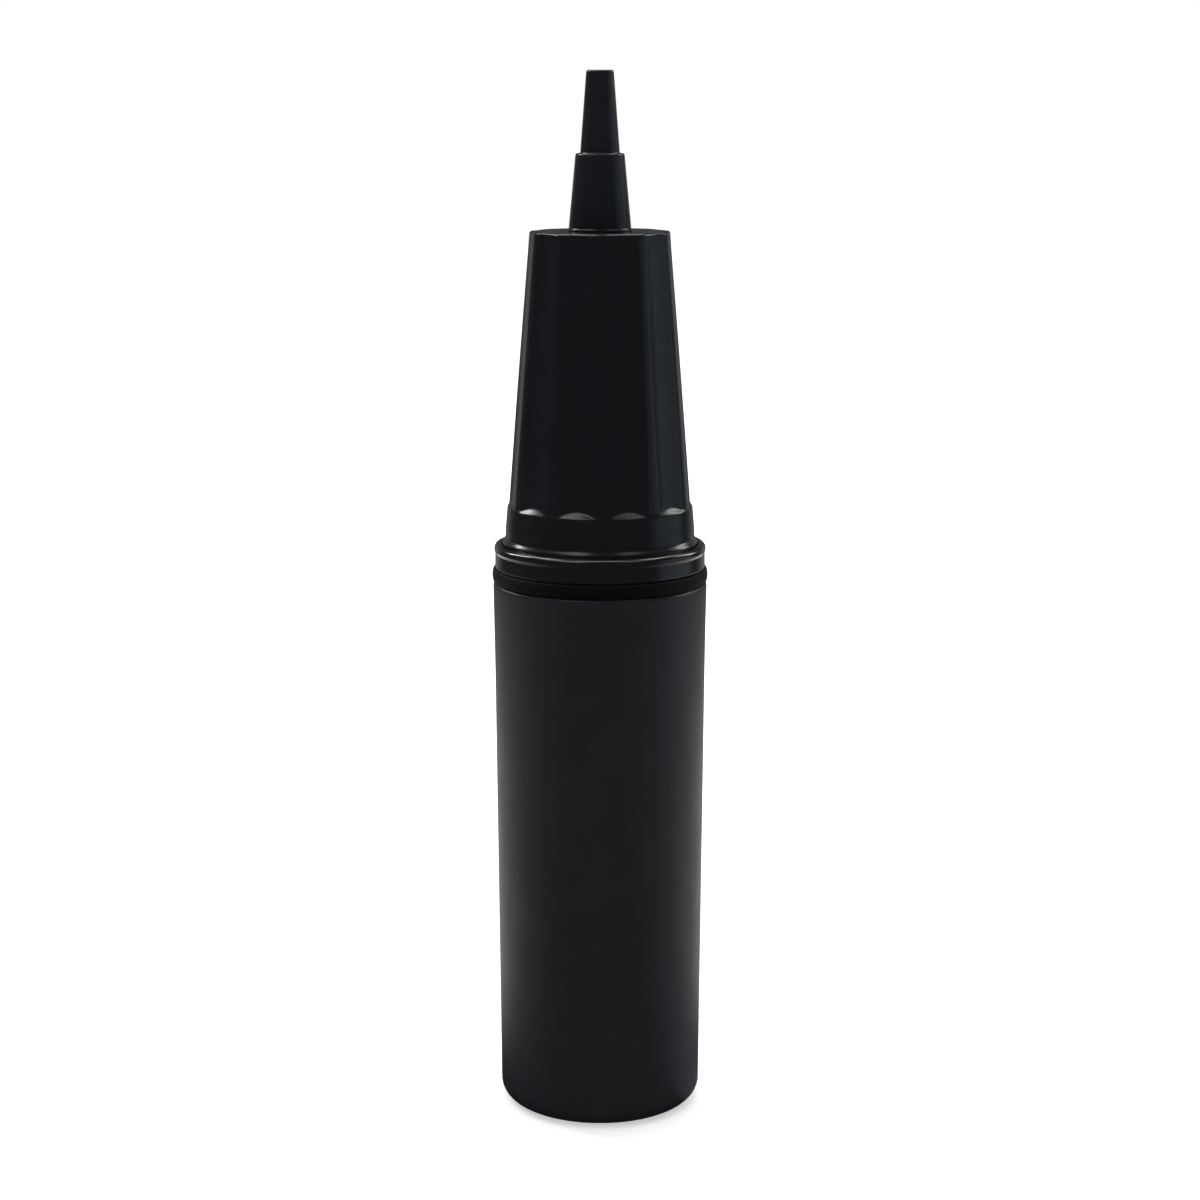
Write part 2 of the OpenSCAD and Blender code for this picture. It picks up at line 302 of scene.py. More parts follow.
@dataclass(frozen=True)
class Finish:
    """What the finishes share: how tone, roughness and relief are spread over a piece.

    Attributes:
        name: the material's name, after what the real one is.
        dark: the darker tone, as sRGB hex.
        light: the lighter tone, as sRGB hex.
        tone_mm: size of the soft clouds between the two tones.
        smooth: roughness where the surface is at its smoothest.
        rough: roughness where it is at its dullest.
        haze_mm: size of the patches between smooth and rough.
        haze_stretch: how many times longer the patches are along the axis than round it.
        grain_mm: width of one grain of the fine relief.
        grain_um: height of the fine relief in micrometres.
        sink_mm: width of the shallow unevenness of a moulded wall.
        sink_um: height of that unevenness in micrometres.
        ior: index of refraction.
    """

    name: str
    dark: str
    light: str
    tone_mm: float = 9.0
    smooth: float = 0.4
    rough: float = 0.5
    haze_mm: float = 4.0
    haze_stretch: float = 1.0
    grain_mm: float = 0.3
    grain_um: float = 2.0
    sink_mm: float = 4.0
    sink_um: float = 4.0
    ior: float = 1.5

    def extras(self, tree: bpy.types.NodeTree, shader: bpy.types.Node, place: bpy.types.NodeSocket) -> None:
        """Adds what only this finish has. The plain finish adds nothing."""

    def build(self) -> bpy.types.Material:
        """Makes the material: two tones, hazy roughness, and fine and broad relief on object coordinates.

        Returns:
            The finished material.
        """
        material = bpy.data.materials.new(self.name)
        tree = cleared_tree(material)
        place = add_node(tree, "ShaderNodeTexCoord").outputs["Object"]
        along = add_node(
            tree,
            "ShaderNodeMapping",
            {"Scale": (1.0, 1.0, 1.0 / self.haze_stretch)},
            {"Vector": place},
        ).outputs["Vector"]
        noises = {
            "clouds": (place, self.tone_mm, 4.0, 0.55),
            "haze": (along, self.haze_mm, 3.0, 0.6),
            "grain": (place, self.grain_mm, 2.0, 0.5),
            "sink": (place, self.sink_mm, 1.0, 0.4),
        }
        noise = {
            name: add_node(
                tree,
                "ShaderNodeTexNoise",
                {"Scale": 1.0 / (width * MM), "Detail": detail, "Roughness": roughness},
                {"Vector": source},
            ).outputs["Fac"]
            for name, (source, width, detail, roughness) in noises.items()
        }
        tone = add_node(
            tree,
            "ShaderNodeMix",
            {"data_type": "RGBA", MIX_FIRST: linear(self.dark), MIX_SECOND: linear(self.light)},
            {0: noise["clouds"]},
        )
        dullness = add_node(
            tree,
            "ShaderNodeMapRange",
            {"From Min": 0.3, "From Max": 0.7, "To Min": self.smooth, "To Max": self.rough},
            {"Value": noise["haze"]},
        )
        fine = add_node(
            tree,
            "ShaderNodeBump",
            {"Strength": 1.0, "Distance": self.grain_um * MICRON},
            {"Height": noise["grain"]},
        )
        relief = add_node(
            tree,
            "ShaderNodeBump",
            {"Strength": 1.0, "Distance": self.sink_um * MICRON},
            {"Height": noise["sink"], "Normal": fine.outputs["Normal"]},
        )
        shader = add_node(
            tree,
            "ShaderNodeBsdfPrincipled",
            {"IOR": self.ior},
            {
                "Base Color": tone.outputs[MIX_RESULT],
                "Roughness": dullness.outputs["Result"],
                "Normal": relief.outputs["Normal"],
            },
        )
        self.extras(tree, shader, place)
        add_node(tree, "ShaderNodeOutputMaterial", {}, {"Surface": shader.outputs["BSDF"]})
        return material


@dataclass(frozen=True)
class CoatedFinish(Finish):
    """A finish with a thin glossy skin over it: the polished face of a moulding, or a film of grease.

    Attributes:
        coat: how much of the skin there is, from 0 to 1.
        coat_roughness: its roughness.
    """

    coat: float = 0.3
    coat_roughness: float = 0.1

    def extras(self, tree: bpy.types.NodeTree, shader: bpy.types.Node, place: bpy.types.NodeSocket) -> None:
        """Adds the glossy skin."""
        shader.inputs["Coat Weight"].default_value = self.coat
        shader.inputs["Coat Roughness"].default_value = self.coat_roughness


class Stock(Enum):
    """The finishes on the pump, each named for the real material and how its surface was made."""

    # Polypropylene moulded in a lightly spark-eroded tool: deep black with a broad, even satin sheen.
    SATIN_POLYPROPYLENE = Finish(
        "satin_polypropylene",
        dark="#1f1d24",
        light="#28262e",
        tone_mm=11.0,
        smooth=0.39,
        rough=0.45,
        haze_mm=5.0,
        haze_stretch=2.0,
        grain_mm=0.45,
        grain_um=1.6,
        sink_mm=16.0,
        sink_um=8.0,
        ior=1.49,
    )
    # ABS from a polished tool: near black with a clear, slightly rippled reflection.
    POLISHED_ABS = CoatedFinish(
        "polished_abs",
        dark="#161617",
        light="#1d1d1e",
        tone_mm=8.0,
        smooth=0.18,
        rough=0.23,
        haze_mm=3.0,
        grain_mm=0.6,
        grain_um=0.15,
        sink_mm=7.0,
        coat=0.7,
        coat_roughness=0.09,
    )
    # ABS handled daily: black with a faint blue cast and light streaks along the flutes.
    HANDLED_ABS = CoatedFinish(
        "handled_abs",
        dark="#15171b",
        light="#1d1e23",
        smooth=0.22,
        rough=0.26,
        haze_mm=5.0,
        haze_stretch=5.0,
        grain_mm=0.5,
        grain_um=0.15,
        sink_mm=9.0,
        coat=0.2,
        coat_roughness=0.16,
    )
    # Nylon straight from the mould: a touch greyer than the ABS, semi-gloss.
    MOULDED_NYLON = Finish(
        "moulded_nylon",
        dark="#181a20",
        light="#22242b",
        tone_mm=4.0,
        smooth=0.24,
        rough=0.3,
        haze_mm=1.8,
        haze_stretch=3.0,
        grain_mm=0.35,
        grain_um=0.25,
        sink_um=5.0,
        ior=1.53,
    )
    # EPDM rubber with a fine cloth-like bloom: flat black that gives almost no reflection.
    EPDM_RUBBER = Finish(
        "epdm_rubber",
        dark="#060606",
        light="#0b0b0b",
        tone_mm=3.0,
        smooth=0.66,
        rough=0.8,
        haze_mm=1.2,
        grain_mm=0.25,
        grain_um=3.0,
        sink_mm=5.0,
        sink_um=6.0,
        ior=1.36,
    )
    # Nitrile rubber under silicone grease: black and wet looking.
    GREASED_NITRILE = CoatedFinish(
        "greased_nitrile",
        dark="#0b0b0b",
        light="#141413",
        tone_mm=2.0,
        smooth=0.45,
        rough=0.6,
        haze_mm=1.0,
        sink_mm=3.0,
        coat=0.5,
        coat_roughness=0.2,
    )
    # Extruded black tube wiped with grease: clear long streaks along the draw direction.
    GREASED_TUBE = CoatedFinish(
        "greased_tube",
        dark="#121215",
        light="#1c1c20",
        smooth=0.22,
        rough=0.36,
        haze_mm=1.6,
        haze_stretch=14.0,
        grain_um=0.5,
        sink_mm=9.0,
        sink_um=3.0,
        coat=0.35,
        coat_roughness=0.12,
    )
    # Natural acetal: milky off-white, a little waxy.
    NATURAL_ACETAL = Finish(
        "natural_acetal",
        dark="#d3d0c4",
        light="#e0ddd2",
        tone_mm=5.0,
        smooth=0.34,
        rough=0.44,
        haze_mm=2.0,
        grain_mm=0.35,
        grain_um=1.2,
        sink_mm=6.0,
        sink_um=5.0,
        ior=1.48,
    )
    # Pressed red fibre washer: mottled brick red with short fibres.
    RED_FIBRE = Finish(
        "red_fibre",
        dark="#5d221b",
        light="#80372b",
        tone_mm=0.7,
        smooth=0.6,
        rough=0.8,
        haze_mm=0.5,
        grain_mm=0.18,
        grain_um=9.0,
        sink_mm=3.0,
        ior=1.45,
    )
    # Silicone rubber disc: dark grey brown with a soft sheen.
    SILICONE_DISC = Finish(
        "silicone_disc",
        dark="#37342f",
        light="#45413b",
        tone_mm=3.0,
        smooth=0.42,
        rough=0.55,
        haze_mm=1.5,
        grain_um=1.5,
        sink_um=6.0,
        ior=1.41,
    )
    # Grey nylon pin with moulding flow marks.
    GREY_NYLON = Finish(
        "grey_nylon",
        dark="#55565a",
        light="#63646a",
        tone_mm=2.0,
        smooth=0.32,
        rough=0.45,
        haze_mm=1.0,
        haze_stretch=2.0,
        grain_mm=0.25,
        grain_um=1.0,
        sink_mm=2.0,
        ior=1.53,
    )

    def material(self) -> bpy.types.Material:
        """Returns this stock's material, made the first time it is asked for."""
        return bpy.data.materials.get(self.value.name) or self.value.build()


# ---- grip


@dataclass(frozen=True)
class FlutedGrip:
    """The tapered grip: a plain skirt, sloped flute ends, scooped flutes, a flat top and the hollow inside.

    Attributes:
        foot_z: height of the skirt's lower edge.
        lip: rounding of that edge.
        skirt_low_z: height below which the skirt's side is upright.
        skirt_top: height where the flutes start.
        top_z: height of the flat top.
        top_round: rounding of the top's edge.
        flare_r: radius at the foot of the flare.
        flare_z: height where the flare starts to narrow.
        flare_h: height over which it narrows.
        skirt_low_r: radius of the skirt's upright part.
        skirt_r: radius of the skirt at its top.
        cone_low_r: radius over the ridges at the cone's foot.
        cone_top_r: radius over the ridges at the top.
        flutes: number of flutes.
        flute_front: angle of the middle of one flute.
        flute_depth: depth of a flute at its middle.
        scoop_r: radius of the scoop that hollows a flute.
        ledge_slope: how fast the radius falls with height on the ledges at the flutes' feet.
        edge_blend: rounding of the ridges between flutes.
        fillet_blend: rounding where a flute meets its ledge.
        corner_blend: rounding of the skirt's top corner.
        columns_per_flute: mesh columns across each flute.
        bend_points: points on the rounded edges of foot and top.
        inner_arc: points on each rounded corner inside.
        mouth_round: rounding of the hole in the top.
        bore: the inside's outline, from the hole through the nozzle's and the tube's seats to the socket.
        hollow_wall: its last corners, down the outer wall of the hollow round the socket.
        socket_wall_r: outer radius of the socket.
        rib_count: number of ribs in the hollow.
        rib_root: how far both ends of a rib reach into the walls.
        rib_span: heights of a rib's foot and top.
        rib_foot: rise and inset of the rows that round a rib's foot.
        rib_rows: rows up the rest of a rib.
        rib_half: half of a rib's width at its foot and at its top.
        rib_power: roundness of a rib's plan, nought being a sharp rectangle.
    """

    foot_z: float = 110.7
    lip: float = 0.3
    skirt_low_z: float = 114.3
    skirt_top: float = 118.4
    top_z: float = 170.4
    top_round: float = 0.42
    flare_r: float = 18.7
    flare_z: float = 111.5
    flare_h: float = 1.35
    skirt_low_r: float = 18.05
    skirt_r: float = 17.7
    cone_low_r: float = 17.45
    cone_top_r: float = 13.5
    flutes: int = 11
    flute_front: float = -71.7
    flute_depth: float = 0.75
    scoop_r: float = 17.0
    ledge_slope: float = 0.85
    edge_blend: float = 0.2
    fillet_blend: float = 0.34
    corner_blend: float = 0.16
    columns_per_flute: int = 40
    bend_points: int = 6
    inner_arc: int = 3
    mouth_round: float = 0.15
    bore: Corners = (
        (5.75, 169.3, 0.05),
        (4.75, 169.3, 0.1),
        (4.75, 158.6, 0.25),
        (7.6, 158.6, 0.3),
        (7.6, 167.4, 0.4),
        (10.92, 167.4, 0.5),
        (11.3, 141.2, 0.1),
        (13.05, 141.2, 0.1),
        (13.05, 110.7, 0.4),
        (14.6, 110.7, 0.3),
        (14.6, 124.6, 0.12),
    )
    hollow_wall: Corners = (
        (14.75, 124.6, 0.12),
        (15.9, 117.5, 0.5),
        (16.2, 110.7, 0.35),
    )
    socket_wall_r: float = 14.6
    rib_count: int = 6
    rib_root: float = 0.12
    rib_span: Pair = (112.3, 124.0)
    rib_foot: tuple[Pair, ...] = ((0.0, 0.2), (0.06, 0.07), (0.2, 0.0))
    rib_rows: int = 12
    rib_half: Pair = (0.6, 0.45)
    rib_power: float = 0.35

    def side_radius(self, angle: np.ndarray, height: np.ndarray) -> np.ndarray:
        """Radius of the outside at an angle and a height.

        The cone falls evenly from its foot to its top. Each scoop is a cylinder that lies along the cone,
        so across it the radius is d cos(p) - sqrt(R^2 - d^2 sin^2(p)), with p the angle from the scoop's
        middle, R the scoop's radius and d the distance of its centre. The smaller of the two, rounded where
        they cross, is the fluted cone. The sloped ledge at the flutes' foot fills it from below, and the
        skirt's line, with the flare eased into its foot, cuts across both.

        Args:
            angle: angles about the axis, in radians.
            height: heights above the foot.

        Returns:
            The radius for each pair.
        """
        rise = height - self.skirt_top
        taper = (self.cone_low_r - self.cone_top_r) / (self.top_z - self.skirt_top)
        cone = self.cone_low_r - taper * rise
        step = 2 * math.pi / self.flutes
        off = (angle - math.radians(self.flute_front) + step / 2) % step - step / 2
        centre = cone - self.flute_depth + self.scoop_r
        scoop = centre * np.cos(off) - np.sqrt(self.scoop_r**2 - (centre * np.sin(off)) ** 2)
        fluted = soft_min(cone, scoop, self.edge_blend)
        ledge = self.skirt_r - self.ledge_slope * rise
        filled = soft_max(fluted, ledge, self.fillet_blend)
        slope = (self.skirt_r - self.skirt_low_r) / (self.skirt_top - self.skirt_low_z)
        flare = (self.flare_r - self.skirt_low_r) * (1 - ease((height - self.flare_z) / self.flare_h))
        skirt = self.skirt_low_r + slope * np.maximum(height - self.skirt_low_z, 0.0) + flare
        return soft_min(skirt, filled, self.corner_blend)

    def side_heights(self) -> np.ndarray:
        """Heights of the rows up the side, from the foot's rounding to the top's, as a column.

        They lie close together on the flare and the ledges and further apart where the side is straight.

        Returns:
            The heights, one row each.
        """
        edge_z = self.top_z - self.top_round
        stretches = (
            (self.foot_z + self.lip, self.skirt_low_z + 0.3, 36),
            (self.skirt_low_z + 0.8, self.skirt_top - 0.7, 4),
            (self.skirt_top - 0.4, self.skirt_top + 2.2, 36),
            (self.skirt_top + 2.6, edge_z - 0.5, 40),
            (edge_z - 0.15, edge_z - 0.15, 1),
        )
        return np.concatenate([np.linspace(low, high, count) for low, high, count in stretches])[:, None]

    def shell(self) -> bpy.types.Object:
        """Builds the whole shell as one closed ring of rows: up the outside, over the top and back inside.

        Returns:
            The shell's object.
        """
        columns = self.flutes * self.columns_per_flute
        angle = (np.arange(columns) * (2 * math.pi / columns))[None, :]
        heights = self.side_heights()
        side = self.side_radius(angle, heights)
        bend = np.linspace(0, math.pi / 2, self.bend_points)[:, None]
        foot_r = side[:1] - self.lip * (1 - np.sin(bend))
        foot_z = self.foot_z + self.lip * (1 - np.cos(bend))
        edge = self.side_radius(angle, np.full((1, 1), self.top_z - self.top_round))
        over_r = edge - self.top_round * (1 - np.cos(bend))
        over_z = self.top_z - self.top_round * (1 - np.sin(bend))
        mouth_r = self.bore[0][0]
        # Rows across the flat top, closer at the edge.
        share = np.array([0.03, 0.2, 0.45, 0.7, 0.95])[:, None]
        flat_r = (edge - self.top_round) * (1 - share) + (mouth_r + self.mouth_round) * share
        # The first two corners only give the outline its direction, and their points are left out.
        corners = [
            (self.flare_r - 2 * self.lip, self.foot_z, 0.01),
            (self.cone_top_r - 1, self.top_z, 0.01),
            (mouth_r, self.top_z, self.mouth_round),
            *self.bore,
            *self.hollow_wall,
        ]
        inside = rounded_outline(np.array(corners), self.inner_arc)
        rows = [
            around(foot_r[:-1], foot_z[:-1], angle),
            around(side, heights, angle),
            around(over_r, over_z, angle),
            around(flat_r, np.full_like(share, self.top_z), angle),
            turned(inside[2 * (self.inner_arc + STRAIGHT_POINTS) :], columns),
        ]
        return skin("fluted_grip", np.concatenate(rows))

    def ribs(self) -> bpy.types.Object:
        """Builds the ribs between socket and skirt.

        Each is an upright slab with rounded sides: at a height its plan is a rounded rectangle, x = middle +
        half length x |cos t|^p and y = half width x |sin t|^p with their signs kept. Its outer end follows
        the wall of the hollow, so that it narrows upwards with it, and its width drafts as it rises.

        Returns:
            The ribs as one piece.
        """
        foot, top = self.rib_span
        rise, shrink = np.array(self.rib_foot).T
        height = np.concatenate([foot + rise, np.linspace(foot + 0.7, top, self.rib_rows)])[:, None]
        inset = np.concatenate([shrink, np.zeros(self.rib_rows)])[:, None]
        wall_r, wall_z, _ = np.array(self.hollow_wall)[::-1].T
        outer = np.interp(height, wall_z, wall_r) + self.rib_root - inset
        inner = self.socket_wall_r - self.rib_root + inset
        half_width = np.linspace(*self.rib_half, len(height))[:, None] - inset
        turn = np.linspace(0, 2 * math.pi, 24, endpoint=False)
        cos, sin = np.cos(turn), np.sin(turn)
        x = (outer + inner) / 2 + (outer - inner) / 2 * np.sign(cos) * np.abs(cos) ** self.rib_power
        y = half_width * np.sign(sin) * np.abs(sin) ** self.rib_power
        slab = np.stack([x, y, np.broadcast_to(height, x.shape)], -1)
        angles = np.arange(self.rib_count) * (2 * math.pi / self.rib_count)
        cos, sin, nought = np.cos(angles), np.sin(angles), np.zeros_like(angles)
        spins = np.array([[cos, -sin, nought], [sin, cos, nought], [nought, nought, nought + 1]])
        slabs = [skin(f"grip_rib_{i}", slab @ spins[..., i].T, ring=False) for i in range(self.rib_count)]
        return join("grip_ribs", slabs)

    def build(self) -> list[bpy.types.Object]:
        """Makes and dresses the grip's pieces, and sets them on the plunger.

        Returns:
            The shell and the ribs.
        """
        shell, ribs = self.shell(), self.ribs()
        for piece in (shell, ribs):
            dress(piece, Stock.HANDLED_ABS.material())
            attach(piece, "plunger")
        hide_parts("grip_head")
        return [shell, ribs]


# ---- nozzle


@dataclass(frozen=True)
class SteppedNozzle:
    """The two-stage nozzle: a screwed foot, a small flange, two tapers with a step between, and the bore.

    Attributes:
        core_r: radius at the thread's root.
        crest_r: radius at its crest.
        pitch: height of one turn of the thread.
        lead_in: how far above the lower end the thread starts, and over what height it grows.
        run_out: how far below the seat it stops, and over what height it fades.
        crest_share: how much wider the crests are than the roots.
        thread_ends: how far from the lower end and from the seat the thread's rows stop.
        thread_rows: rows up the thread, both ends counted.
        columns: mesh columns round the axis.
        outline: the outline from the seat up the outside and down the bore to the lower end.
    """

    core_r: float = 4.3
    crest_r: float = 4.68
    pitch: float = 1.5
    lead_in: Pair = (0.4, 1.2)
    run_out: Pair = (1.4, 1.0)
    crest_share: float = 1.3
    thread_ends: Pair = (0.5, 1.3)
    thread_rows: int = 72
    columns: int = 128
    outline: Corners = (
        (4.3, 170.42, 0.08),
        (6.0, 170.42, 0.1),
        (6.0, 170.8, 0.1),
        (5.86, 170.98, 0.1),
        (4.57, 184.8, 0.42),
        (3.7, 184.8, 0.18),
        (2.55, 200.0, 0.42),
        (1.35, 200.0, 0.2),
        (1.35, 186.0, 0.4),
        (2.6, 184.0, 0.4),
        (2.6, 159.0, 0.2),
        (4.3, 159.0, 0.3),
    )

    def threaded(self) -> np.ndarray:
        """Works out the screwed foot's rows.

        The radius swings between root and crest once per pitch, and the swing turns once round the axis per
        pitch, which makes a helix. It fades out at both ends, where the outline's own points take over.

        Returns:
            Points in rows up the thread and columns round it.
        """
        low, seat = self.outline[-1][1], self.outline[0][1]
        first, last = low + self.thread_ends[0], seat - self.thread_ends[1]
        height = np.linspace(first, last, self.thread_rows)[1:-1, None]
        angle = (np.arange(self.columns) * (2 * math.pi / self.columns))[None, :]
        wave = 0.5 + 0.5 * np.cos(2 * math.pi * height / self.pitch - angle)
        grow = ease((height - low - self.lead_in[0]) / self.lead_in[1])
        fade = ease((seat - self.run_out[0] - height) / self.run_out[1])
        radius = self.core_r + (self.crest_r - self.core_r) * ease(wave * self.crest_share) * grow * fade
        return around(radius, height, angle)

    def build(self) -> list[bpy.types.Object]:
        """Makes and dresses the nozzle, and sets it on the plunger.

        Returns:
            The nozzle alone.
        """
        body = turned(rounded_outline(np.array(self.outline)), self.columns)
        piece = skin("stepped_nozzle", np.concatenate([body, self.threaded()]))
        dress(piece, Stock.MOULDED_NYLON.material())
        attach(piece, "plunger")
        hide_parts("nozzle")
        return [piece]


# ---- collar and sealing ring


@dataclass(frozen=True)
class CollarGroup:
    """The gloss collar with its rounded rim and seal housing, and the soft ring squeezed under it.

    Attributes:
        columns: mesh columns round the axis.
        arc_points: points on each rounded corner.
        collar: the collar's outline from its skirt up over the rim, in to the rod seal's housing, down the
            guide bush's cage and back up inside to the snap bead.
        ring: the ring's outline, flat against the barrel's neck and bulged outside.
    """

    columns: int = 256
    arc_points: int = 9
    collar: Corners = (
        (19.25, 106.7, 0.1),
        (20.13, 106.7, 0.3),
        (20.09, 109.55, 0.5),
        (20.25, 110.05, 0.4),
        (20.25, 111.3, 0.85),
        (18.85, 111.3, 0.5),
        (18.85, 110.6, 0.15),
        (13.25, 110.6, 0.3),
        (13.25, 109.1, 0.2),
        (15.9, 109.1, 0.2),
        (15.9, 105.4, 0.1),
        (16.2, 105.4, 0.1),
        (16.2, 99.7, 0.15),
        (15.75, 99.0, 0.15),
        (17.45, 99.0, 0.3),
        (17.45, 109.1, 0.2),
        (19.25, 109.1, 0.2),
        (19.25, 108.3, 0.1),
        (19.58, 107.8, 0.3),
        (19.25, 107.3, 0.1),
    )
    ring: Corners = (
        (19.27, 104.03, 0.15),
        (20.5, 104.03, 0.35),
        (20.7, 105.3, 2.2),
        (20.5, 106.57, 0.35),
        (19.27, 106.57, 0.15),
    )

    def build(self) -> list[bpy.types.Object]:
        """Makes and dresses both pieces, and sets them on the barrel.

        Returns:
            The collar and the ring.
        """
        outline = rounded_outline(np.array(self.collar), self.arc_points)
        collar = skin("snap_collar", turned(outline, self.columns))
        dress(collar, Stock.POLISHED_ABS.material())
        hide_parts("collar")
        outline = rounded_outline(np.array(self.ring), self.arc_points)
        ring = skin("sealing_ring", turned(outline, self.columns))
        dress(ring, Stock.EPDM_RUBBER.material())
        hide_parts("sealing_band")
        for piece in (collar, ring):
            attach(piece, "barrel")
        return [collar, ring]


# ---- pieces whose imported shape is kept


@dataclass(frozen=True)
class KeptPieces:
    """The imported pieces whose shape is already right.

    Attributes:
        stocks: each piece's name and the stock it is made of.
    """

    stocks: tuple[tuple[str, Stock], ...] = (
        ("barrel", Stock.SATIN_POLYPROPYLENE),
        ("valve_pin", Stock.GREY_NYLON),
        ("intake_disc", Stock.SILICONE_DISC),
        ("guide_bush", Stock.NATURAL_ACETAL),
        ("rod_seal", Stock.GREASED_NITRILE),
        ("inner_tube", Stock.GREASED_TUBE),
        ("piston_head", Stock.NATURAL_ACETAL),
        ("piston_ring", Stock.GREASED_NITRILE),
        ("bumper_ring", Stock.EPDM_RUBBER),
        ("tube_gasket", Stock.RED_FIBRE),
        ("nozzle_gasket", Stock.RED_FIBRE),
    )

    def build(self, nodes: dict[str, bpy.types.Object]) -> list[bpy.types.Object]:
        """Dresses each kept piece in its stock.

        Args:
            nodes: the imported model's pieces by name.

        Returns:
            The dressed pieces.
        """
        for name, stock in self.stocks:
            dress(nodes[name], stock.material())
        return [nodes[name] for name, _ in self.stocks]


# ---- studio


@dataclass(frozen=True)
class Softbox:
    """A rectangular lamp that faces the pump.

    Attributes:
        name: the lamp's name.
        azimuth: angle round the pump, from the front and positive to the right.
        elevation: angle above the floor.
        distance: metres from the pump's middle.
        size: width and height in metres.
        watts: strength.
    """

    name: str
    azimuth: float
    elevation: float
    distance: float
    size: Pair
    watts: float

    def build(self, target: Vector) -> None:
        """Makes the lamp and turns it to the target.

        Args:
            target: the point that it faces.
        """
        lamp = bpy.data.lights.new(self.name, "AREA")
        lamp.shape = "RECTANGLE"
        lamp.size, lamp.size_y = self.size
        lamp.energy = self.watts
        a, e = math.radians(self.azimuth), math.radians(self.elevation)
        way = Vector((math.sin(a) * math.cos(e), -math.cos(a) * math.cos(e), math.sin(e)))
        holder = bpy.data.objects.new(self.name, lamp)
        holder.location = target + way * self.distance
        holder.rotation_euler = (-way).to_track_quat("-Z", "Y").to_euler()
        bpy.context.scene.collection.objects.link(holder)


def background_rays(tree: bpy.types.NodeTree) -> bpy.types.NodeSocket:
    """Tells the rays that see the white background: those of the camera, of gloss and of glass.

    Args:
        tree: the node tree that gets the nodes.

    Returns:
        An output that is 1 for those rays and nought for the others.
    """
    path = add_node(tree, "ShaderNodeLightPath").outputs
    shine = add_node(
        tree,
        "ShaderNodeMath",
        {"operation": "MAXIMUM"},
        {0: path["Is Camera Ray"], 1: path["Is Glossy Ray"]},
    )
    seen = add_node(
        tree,
        "ShaderNodeMath",
        {"operation": "MAXIMUM"},
        {0: shine.outputs[0], 1: path["Is Transmission Ray"]},
    )
    return seen.outputs[0]


